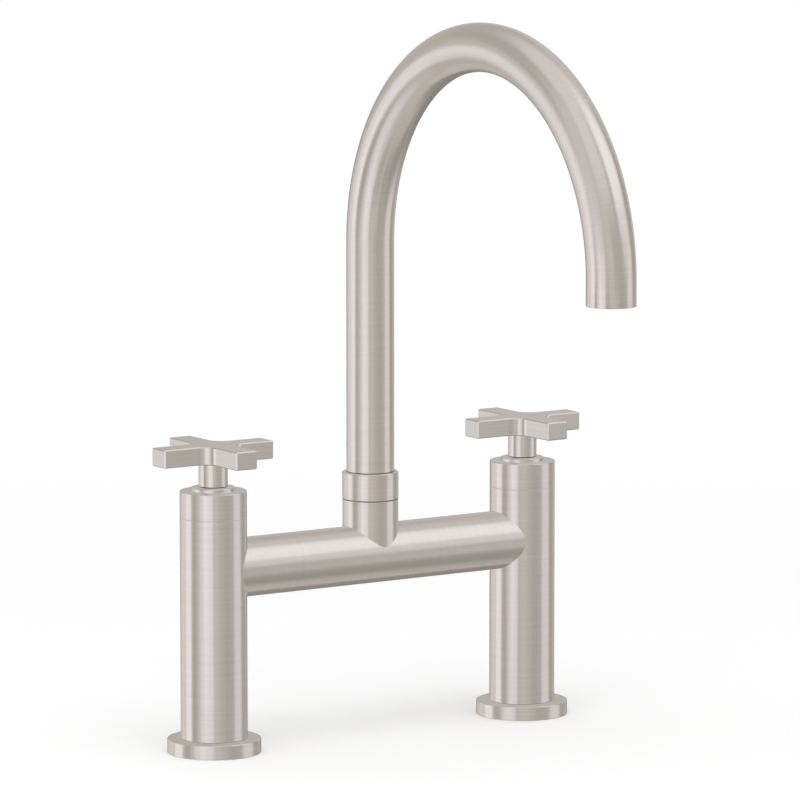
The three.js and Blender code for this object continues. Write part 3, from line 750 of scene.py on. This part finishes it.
stem_socket = 4.5
stem_roof = 1.9
stem_foot_round = 0.4
stem_foot_shade = 0.5  # how far up the stem's foot the painted shade of the narrow gap over the ring reaches
stem_spigot_radius = 5.5
stem_spigot_length = 4.6
stem_key = 2.0  # across the flats of the screw's socket
stem_screw_gap = 0.3
foot = ring_top + stem_foot_gap

# Bright stainless steel, turned.
turned_stainless = machined("turned_stainless", "#9c9a96", "#b0aeaa", 0.3, 0.25, (0.2, 1, 1))


def grub_hole(node, gap, reach):
    """A drill for the clearance hole round a grub screw, from its piece's axis to the back."""
    middle = node_middle(node)
    return drill(node_radius(node) + gap, (middle.x, 0, middle.z), (0, 1, 0), reach)


def grub_screw(name, node, thread_from, key):
    """A grub screw along +Y: a dog point, a threaded body and a hexagon socket for the key."""
    thread_pitch = 0.5
    thread_depth = 0.18
    bevel = 0.25
    dog_bevel = 0.1
    socket_depth = 1.2 * key
    low, high = node_box(node)
    radius = node_radius(node)
    crest = []
    at = thread_from + thread_pitch
    while at < high.y - 2 * thread_pitch:
        crest += [(radius, at), (radius - thread_depth, at + thread_pitch / 2)]
        at += thread_pitch
    outline = [
        (0, low.y),
        (radius / 2 - dog_bevel, low.y),
        (radius / 2, low.y + dog_bevel),
        (radius / 2, thread_from),
        (radius - bevel, thread_from),
        *crest,
        (radius, high.y - thread_pitch),
        (radius, high.y - bevel),
        (radius - bevel, high.y),
        (0, high.y),
    ]
    screw = turned(name, outline, sides=48)
    corner = key / math.sqrt(3)  # from the hexagon's middle
    floor = (0, 0, high.y - socket_depth)
    drilled(screw, drill(corner, floor, (0, 0, 1), socket_depth + past, sides=6))
    middle = node_middle(node)
    place = Matrix.Translation(Vector((middle.x, 0, middle.z)) * MM)
    screw.data.transform(place @ Matrix.Rotation(-math.pi / 2, 4, "X"))
    return smooth(screw)


for water, axis in column_axis.items():
    top = node_box(f"{water}_handle_stem")[1].z
    stem_radius = node_radius(f"{water}_handle_stem")
    shoulder = top - stem_spigot_length
    outline = [
        (stem_socket, foot),
        (stem_radius, foot, stem_foot_round),
        (stem_radius, shoulder),
        (stem_spigot_radius, shoulder),
        (stem_spigot_radius, top),
        (0, top),
        (0, shoulder - stem_roof),
        (stem_socket, shoulder - stem_roof),
    ]
    stem = turned(f"{water}_stem", rounded(outline), axis, sides=128)
    node = f"{water}_handle_screw"
    # The stem's foot gets painted shade, for the shade in the narrow gap over the ring.
    plate(
        drilled(stem, grub_hole(node, stem_screw_gap, stem_radius + past)),
        f"{water}_handle", f"{water}_handle_stem", round_upright(*axis),
        (foot - past, foot + stem_foot_shade),
    )
    thread_from = node_box(node)[0].y + node_radius(node) / 2
    screw = grub_screw(f"{water}_stem_screw", node, thread_from, stem_key)
    fit(screw, turned_stainless, f"{water}_handle", node)


# ---- Cross handles ----
# A solid brass cross with square-ended arms and round inner corners, milled, plated and
# brushed along its faces. Every outer edge is broken to a chamfer that catches the light.

arm_width = 13.35
inner_fillet = 7.5
edge_chamfer = 0.6
socket_gap = 0.3  # round and over the stem's spigot
cross_rise = 0.6  # how far the finished cross stands over the plain solid's top
cross_underside_shade = (0.02, 0.25)  # above its underside: a band of painted shade on the lower chamfer
cross_span = 2 * node_radius("hot_cross_handle")


def cross_outline(inset):
    """The cross seen from above, anticlockwise from the +X arm, made smaller by the inset."""
    fillet_steps = 24
    tip = cross_span / 2 - inset
    side = arm_width / 2 - inset
    corner = max(edge_chamfer - inset, 0.0)
    points = [
        Vector((tip - corner, -side)), Vector((tip, corner - side)),
        Vector((tip, side - corner)), Vector((tip - corner, side)),
    ]
    fillet = inner_fillet + inset
    centre = Vector((side + fillet, side + fillet))
    for step in range(fillet_steps + 1):
        angle = -math.pi / 2 - math.pi / 2 * step / fillet_steps
        points.append(centre + fillet * Vector((math.cos(angle), math.sin(angle))))
    quarters = [Matrix.Rotation(quarter * math.pi / 2, 2) for quarter in range(4)]
    return [turn @ point for turn in quarters for point in points]


def cross_blank(name, axis, bottom, top):
    """The cross with all its outer edges chamfered, before its socket is drilled."""
    section = [
        (edge_chamfer, bottom),
        (0, bottom + edge_chamfer),
        (0, top - edge_chamfer),
        (edge_chamfer, top),
    ]
    mesh = bmesh.new()
    rings = [
        [
            mesh.verts.new(Vector((axis[0] + p.x, axis[1] + p.y, level)) * MM)
            for p in cross_outline(inset)
        ]
        for inset, level in section
    ]
    for corners in [*skin(rings), rings[-1], rings[0][::-1]]:
        mesh.faces.new(corners)
    bmesh.ops.remove_doubles(mesh, verts=mesh.verts, dist=0.001 * MM)
    data = bpy.data.meshes.new(name)
    mesh.to_mesh(data)
    mesh.free()
    return add_object(name, data)


def belt_brushed(at, normal):
    """Lines run along X on top and below, and level along the edge faces."""
    upward = 0.7  # how upright the normal of the top and of its chamfer is at least
    if abs(normal.z) > upward:
        return Vector((1, 0, 0)), Vector((at.x, at.z, at.y))
    level = Vector((-normal.y, normal.x, 0)).normalized()
    return level, Vector((at.x, at.y, at.z))


for water, axis in column_axis.items():
    low, high = node_box(f"{water}_cross_handle")
    cross = cross_blank(f"{water}_cross", axis, low.z, high.z + cross_rise)
    depth = node_box(f"{water}_handle_stem")[1].z + socket_gap - low.z
    socket = drill(
        stem_spigot_radius + socket_gap, (*axis, low.z - past), (0, 0, 1), depth + past,
    )
    # The lower chamfer gets a band of painted shade, for the shade under the cross.
    plate(
        drilled(cross, socket), f"{water}_handle", f"{water}_cross_handle", belt_brushed,
        (low.z + cross_underside_shade[0], low.z + cross_underside_shade[1]),
    )


# ---- Bridge ----
# A brass tube between the columns, coped at both ends to lie against them, plated and brushed
# round. It slides over the two unions, and has a hole on top for the boss's tenon.

bridge_wall = 3.2
bridge_edge = 0.15
cope_gap = 0.05  # between a coped end and what it lies against
tenon_radius = 9.6
tenon_gap = 0.3
bridge_top = node_box("bridge_tube")[1].z
bridge_radius = bridge_top - bridge_axis
bridge_bore = bridge_radius - bridge_wall


def against_column(way, back):
    """A level along the bridge, back from where its end lies against a column all round."""
    def level(radius, angle):
        dip = math.sqrt((column_radius + cope_gap) ** 2 - (radius * math.cos(angle)) ** 2)
        return way * (column_axis["cold"][0] - dip - back)
    return level


end_section = [
    (bridge_bore, bridge_edge),
    (bridge_bore + bridge_edge, 0),
    ((bridge_bore + bridge_radius) / 2, 0),
    (bridge_radius - bridge_edge, 0),
    (bridge_radius, bridge_edge),
]
bridge_outline = [(radius, against_column(-1, back)) for radius, back in end_section]
bridge_outline += [(radius, against_column(1, back)) for radius, back in reversed(end_section)]
bridge = turned("bridge", bridge_outline)
upright_to_x = Matrix(((0, 0, 1), (1, 0, 0), (0, 1, 0))).to_4x4()
bridge.data.transform(Matrix.Translation(Vector((0, 0, bridge_axis)) * MM) @ upright_to_x)


def round_along_bridge(at, normal):
    """Brushed while it turns about the bridge's own axis."""
    arm = Vector((0, at.y, at.z - bridge_axis))
    direction = Vector((0, -arm.z, arm.y)).normalized()
    return direction, Vector((arm.y, arm.z, at.x + arm.length))


tenon_hole = drill(tenon_radius + tenon_gap, (0, 0, bridge_axis), (0, 0, 1), 2 * bridge_radius)
plate(drilled(bridge, tenon_hole), "faucet_body", "bridge_tube", round_along_bridge)


# ---- Boss on the bridge ----
# A turned brass boss, coped onto the bridge with a tenon through its wall. The spout's spigot
# turns in its bore, kept in by a grub screw at the back. A plastic washer bears the spout.

waterway = 7.2
spigot_bore = 10.5
floor_height = 2.2  # of the bore, over the bridge
boss_top_round = 0.3
# Down from the boss's top: painted shade for the gap under the collar.
boss_top_shade = 0.2
boss_edge = 0.12  # at the foot of the boss's wall
tenon_edge = 0.1  # where the saddle meets the tenon
boss_screw_gap = 0.15
boss_key = 1.5
boss_low, boss_high = node_box("spout_boss")
boss_radius = node_radius("spout_boss")
boss_floor = bridge_top + floor_height


def on_the_bridge(radius, angle):
    """The level at which a coped edge lies on the bridge."""
    across = radius * math.sin(angle)
    return bridge_axis + math.sqrt((bridge_radius + cope_gap) ** 2 - across ** 2)


saddle_steps = 5
saddle_inner = tenon_radius + tenon_edge
saddle_outer = boss_radius - boss_edge
saddle = [
    (saddle_inner + (saddle_outer - saddle_inner) * step / saddle_steps, on_the_bridge)
    for step in range(saddle_steps + 1)
]
# The fixed levels are rounded as one outline; the coped underside closes it.
boss_edges = rounded([
    (boss_radius, bridge_axis),
    (boss_radius, boss_high.z, boss_top_round),
    (spigot_bore, boss_high.z),
    (spigot_bore, boss_floor),
    (waterway, boss_floor),
    (waterway, boss_low.z),
    (tenon_radius, boss_low.z),
    (tenon_radius, bridge_axis),
])
boss_outline = [
    (boss_radius, lambda radius, angle: on_the_bridge(radius, angle) + boss_edge),
    *[point for point in boss_edges if point.y > bridge_axis + 1],
    (tenon_radius, lambda radius, angle: on_the_bridge(radius, angle) - tenon_edge),
    *saddle,
]
boss = turned("boss", boss_outline)
# The top of the boss gets painted shade, for the gap under the collar.
plate(
    drilled(boss, grub_hole("retaining_screw", boss_screw_gap, boss_radius + past)),
    "faucet_body", "spout_boss", round_upright(), (boss_high.z - boss_top_shade, boss_high.z + past),
)

boss_screw = grub_screw("boss_screw", "retaining_screw", spigot_bore, boss_key)
fit(boss_screw, turned_stainless, "faucet_body", "retaining_screw")
# Moulded acetal, coloured black: partly its own colour, partly painted shade of the gap,
# so it shows between boss and collar as a dark line.
black_acetal = moulded("black_acetal", "#1d1c1b", "#262524", 0.46, 0.5, 1.48, 0.02)
dress(black_acetal, "swivel_washer")


# ---- Spigot and collar ----
# The spout's turned brass spigot carries two O-rings. The brushed collar hides its flange and
# the joint between spout and spigot.

dress(turned_brass, "spout_spigot")
dress(nitrile_rubber, "spigot_o_ring_lower", "spigot_o_ring_upper")

collar_recess = 14.4
collar_gap = 0.3  # round the spout
# Up from the collar's foot: painted shade for the gap over the boss.
collar_foot_shade = 0.12
collar_foot_round = 0.3
collar_top_round = 0.4
collar_mouth_round = 0.2
spigot_in_spout = 9.0  # how far the spigot stands up inside the spout
recess_gap = 0.1  # over the spigot's flange
collar_low, collar_high = node_box("spout_collar")
collar_radius = node_radius("spout_collar")
spout_radius = node_box("spout_tube")[1].x
collar_bore = spout_radius + collar_gap
recess_top = node_box("spout_spigot")[1].z - spigot_in_spout + recess_gap
collar = turned("collar", rounded([
    (collar_recess, collar_low.z),
    (collar_radius, collar_low.z, collar_foot_round),
    (collar_radius, collar_high.z, collar_top_round),
    (collar_bore, collar_high.z, collar_mouth_round),
    (collar_bore, recess_top),
    (collar_recess, recess_top),
]))
# The collar's foot gets painted shade, for the gap over the boss.
plate(
    collar, "spout", "spout_collar", round_upright(),
    (collar_low.z - past, collar_low.z + collar_foot_shade),
)


# ---- Gooseneck ----
# One brass tube bent on a mandrel to a half circle, with a straight riser and a short drop,
# plated and brushed round. Geometry nodes bend it as the tube bender does.

spout_wall = 1.5
outlet_drop = 12.8
spout_edge = 0.3
gooseneck_foot_shade = 0.55  # above the collar: painted shade where the tube goes into it
gooseneck_low, gooseneck_high = node_box("spout_tube")
arch_radius = (spout_radius - gooseneck_low.y) / 2 - spout_radius
spring_level = gooseneck_high.z - spout_radius - arch_radius


def growing_tree(name, sizes):
    """A geometry tree with a named input for each size and for the finish, and their sockets."""
    tree = bpy.data.node_groups.new(name, "GeometryNodeTree")
    tree.interface.new_socket(name="Geometry", in_out="OUTPUT", socket_type="NodeSocketGeometry")
    for label, value in sizes.items():
        kind = "NodeSocketInt" if isinstance(value, int) else "NodeSocketFloat"
        socket = tree.interface.new_socket(name=label, in_out="INPUT", socket_type=kind)
        socket.default_value = value
    tree.interface.new_socket(name="Finish", in_out="INPUT", socket_type="NodeSocketMaterial")
    return tree, add_node(tree, "NodeGroupInput").outputs


def end_tree(tree, geometry, finish):
    """Every tree ends in real geometry that has its finish."""
    real = add_node(tree, "GeometryNodeRealizeInstances", links={0: geometry})
    covered = add_node(
        tree, "GeometryNodeSetMaterial", links={"Geometry": real, "Material": finish},
    )
    add_node(tree, "NodeGroupOutput", links={0: covered})
    return tree


def tube_bender():
    """Riser, half circle and drop, joined to one line, with a circle swept along it."""
    tree, given = growing_tree("tube_bender", {
        "Foot": gooseneck_low.z * MM,
        "Spring level": spring_level * MM,
        "Arch radius": arch_radius * MM,
        "Drop": outlet_drop * MM,
        "Tube radius": spout_radius * MM,
        "Arch steps": 181,
        "Sides": 96,
    })
    spring = given["Spring level"]
    back, reach = [
        add_node(
            tree, "ShaderNodeMath", {"operation": "MULTIPLY", 1: times},
            {0: given["Arch radius"]},
        )
        for times in (-1.0, -2.0)
    ]
    outlet = add_node(
        tree, "ShaderNodeMath", {"operation": "SUBTRACT"}, {0: spring, 1: given["Drop"]},
    )
    riser_foot, riser_head, arch_middle, drop_head, drop_foot = [
        add_node(tree, "ShaderNodeCombineXYZ", links=place) for place in (
            {"Z": given["Foot"]},
            {"Z": spring},
            {"Y": back, "Z": spring},
            {"Y": reach, "Z": spring},
            {"Y": reach, "Z": outlet},
        )
    ]
    riser, drop = [
        add_node(tree, "GeometryNodeCurvePrimitiveLine", links={"Start": start, "End": end})
        for start, end in ((riser_foot, riser_head), (drop_head, drop_foot))
    ]
    half_circle = add_node(
        tree, "GeometryNodeCurveArc",
        {"mode": "RADIUS", "Sweep Angle": math.pi},
        {"Resolution": given["Arch steps"], "Radius": given["Arch radius"]},
    )
    arch = add_node(
        tree, "GeometryNodeTransform", {"Rotation": (math.pi / 2, 0, math.pi / 2)},
        {"Geometry": half_circle, "Translation": arch_middle},
    )
    lengths = add_node(tree, "GeometryNodeJoinGeometry")
    for curve in (riser, arch, drop):
        wire = add_node(tree, "GeometryNodeCurveToMesh", links={"Curve": curve})
        tree.links.new(wire.outputs["Mesh"], lengths.inputs[0])
    welded = add_node(
        tree, "GeometryNodeMergeByDistance", {"Distance": 0.01 * MM}, {"Geometry": lengths},
    )
    line = add_node(tree, "GeometryNodeMeshToCurve", links={"Mesh": welded})
    circle = add_node(
        tree, "GeometryNodeCurvePrimitiveCircle", {"mode": "RADIUS"},
        {"Resolution": given["Sides"], "Radius": given["Tube radius"]},
    )
    tube = add_node(
        tree, "GeometryNodeCurveToMesh", links={"Curve": line, "Profile Curve": circle},
    )
    return end_tree(tree, tube, given["Finish"])


def grown(name, tree, finish, *modifiers):
    """The plain mesh that a geometry tree makes, after any further modifiers."""
    seed = add_object(name, bpy.data.meshes.new(name))
    growth = seed.modifiers.new("growth", "NODES")
    growth.node_group = tree
    for item in tree.interface.items_tree:
        if item.name == "Finish":
            growth[item.identifier] = finish
    for kind, settings in modifiers:
        modifier = seed.modifiers.new(kind.lower(), kind)
        for setting, value in settings.items():
            setattr(modifier, setting, value)
    return settle(seed)


def along_gooseneck(at, normal):
    """Brushed round the tube: the lines follow it up the riser, over the arch and down."""
    arm = Vector((0, at.y + arch_radius, at.z - spring_level))
    if arm.z > 0:
        angle, straight = math.atan2(arm.z, arm.y), 0
    elif arm.y > 0:
        angle, straight = 0, arm.z
    else:
        angle, straight = math.pi, -arm.z
    outward = Vector((0, math.cos(angle), math.sin(angle)))
    forward = Vector((0, -outward.z, outward.y))
    depth = arm.dot(outward) - arch_radius
    spoke = Vector((at.x, 0, 0)) + outward * depth
    return forward.cross(spoke).normalized(), Vector((at.x, depth, angle * arch_radius + straight))


gooseneck = grown(
    "gooseneck", tube_bender(), nickel,
    ("SOLIDIFY", {"thickness": spout_wall * MM, "offset": -1.0, "use_even_offset": True}),
    (
        "BEVEL",
        {"width": spout_edge * MM, "segments": 3, "limit_method": "ANGLE", "angle_limit": 0.9},
    ),
)
# The tube's foot over the collar gets painted shade, where shade falls at the joint.
plate(
    gooseneck, "spout", "spout_tube", along_gooseneck,
    (collar_high.z, collar_high.z + gooseneck_foot_shade),
)


# ---- Aerator ----
# A moulded plastic cartridge up the outlet: a housing with a lip, a honeycomb that straightens
# the stream, and a rubber washer over it.

housing_wall = 1.9
housing_lip = 0.9
housing_edge = 0.1
housing_foot_round = 0.3
housing_low, housing_high = node_box("aerator_housing")
housing_radius = node_radius("aerator_housing")
housing_bore = housing_radius - housing_wall
outlet_axis = (0, node_middle("aerator_housing").y)

# Moulded acetal: milky white with a soft sheen.
moulded_acetal = moulded("moulded_acetal", "#d3d1ca", "#dddbd6", 0.46, 0.5, 1.48, 0.02)

outline = [
    (housing_bore - housing_lip, housing_low.z, housing_foot_round),
    (housing_radius, housing_low.z, housing_foot_round),
    (housing_radius, housing_high.z),
    (housing_bore, housing_high.z),
    (housing_bore, housing_low.z + housing_lip),
    (housing_bore - housing_lip, housing_low.z + housing_lip),
]
housing = turned("aerator_shell", rounded(outline, housing_edge), outlet_axis, sides=96)
fit(smooth(housing), moulded_acetal, "spout", "aerator_housing")

cells_across = 9
cell_radius = 1.12
cell_pitch = 2.3
cell_field = 7.4  # no cell has its middle further out


def honeycomb():
    """A disc with six-sided cells cut through it on a triangular pitch."""
    low, high = node_box("aerator_insert")
    tree, given = growing_tree("honeycomb", {
        "Disc radius": node_radius("aerator_insert") * MM,
        "Height": (high.z - low.z) * MM,
        "Cutter height": 2 * (high.z - low.z) * MM,
        "Cell radius": cell_radius * MM,
        "Pitch": cell_pitch * MM,
        "Field radius": cell_field * MM,
    })
    # Points in rows, every second row half a pitch over, rows sqrt(3)/2 of a pitch apart.
    points = add_node(tree, "GeometryNodePoints", {"Count": cells_across ** 2})
    index = add_node(tree, "GeometryNodeInputIndex")
    column, row = [
        add_node(
            tree, "FunctionNodeIntegerMath", {"operation": operation, 1: cells_across}, {0: index},
        )
        for operation in ("MODULO", "DIVIDE_FLOOR")
    ]
    odd = add_node(tree, "ShaderNodeMath", {"operation": "PINGPONG", 1: 1.0}, {0: row})
    along = add_node(
        tree, "ShaderNodeMath", {"operation": "MULTIPLY_ADD", 1: 0.5}, {0: odd, 2: column},
    )
    place = add_node(tree, "ShaderNodeCombineXYZ", links={"X": along, "Y": row})
    middle = (cells_across - 1) / 2
    for operation, by in (
        ("SUBTRACT", (middle, middle, 0)),
        ("MULTIPLY", (1, math.sqrt(3) / 2, 1)),
    ):
        place = add_node(tree, "ShaderNodeVectorMath", {"operation": operation, 1: by}, {0: place})
    place = add_node(
        tree, "ShaderNodeVectorMath", {"operation": "SCALE"}, {0: place, "Scale": given["Pitch"]},
    )
    rows = add_node(
        tree, "GeometryNodeSetPosition", links={"Geometry": points, "Position": place},
    )
    distance = add_node(tree, "ShaderNodeVectorMath", {"operation": "LENGTH"}, {0: place})
    outside = add_node(
        tree, "FunctionNodeCompare", {"data_type": "FLOAT", "operation": "GREATER_THAN"},
        {0: distance.outputs["Value"], 1: given["Field radius"]},
    )
    field = add_node(
        tree, "GeometryNodeDeleteGeometry", {"domain": "POINT"},
        {"Geometry": rows, "Selection": outside},
    )
    prism = add_node(
        tree, "GeometryNodeMeshCylinder", {"Vertices": 6},
        {"Radius": given["Cell radius"], "Depth": given["Cutter height"]},
    )
    cells = add_node(
        tree, "GeometryNodeInstanceOnPoints", {"Rotation": (0, 0, math.pi / 6)},
        {"Points": field, "Instance": prism},
    )
    cells = add_node(tree, "GeometryNodeRealizeInstances", links={0: cells})
    disc = add_node(
        tree, "GeometryNodeMeshCylinder", {"Vertices": 64},
        {"Radius": given["Disc radius"], "Depth": given["Height"]},
    )
    cut = add_node(
        tree, "GeometryNodeMeshBoolean", {"operation": "DIFFERENCE", "solver": "EXACT"},
        {"Mesh 1": disc, "Mesh 2": cells},
    )
    return end_tree(tree, cut, given["Finish"])


comb = grown("aerator_honeycomb", honeycomb(), moulded_acetal)
comb_middle = Vector((*outlet_axis, node_middle("aerator_insert").z))
comb.data.transform(Matrix.Translation(comb_middle * MM))
fit(comb, moulded_acetal, "spout", "aerator_insert")
dress(nitrile_rubber, "aerator_washer")


# ---- What the metal sees ----
# A catalogue picture shows the studio alone in the brushed metal, so that the long bands run
# through: the plated pieces and the part's own solids stay out of every reflection.

for piece in bpy.data.objects:
    plated = nickel in [slot.material for slot in piece.material_slots]
    if plated or piece in frame["nodes"].values():
        piece.visible_glossy = False
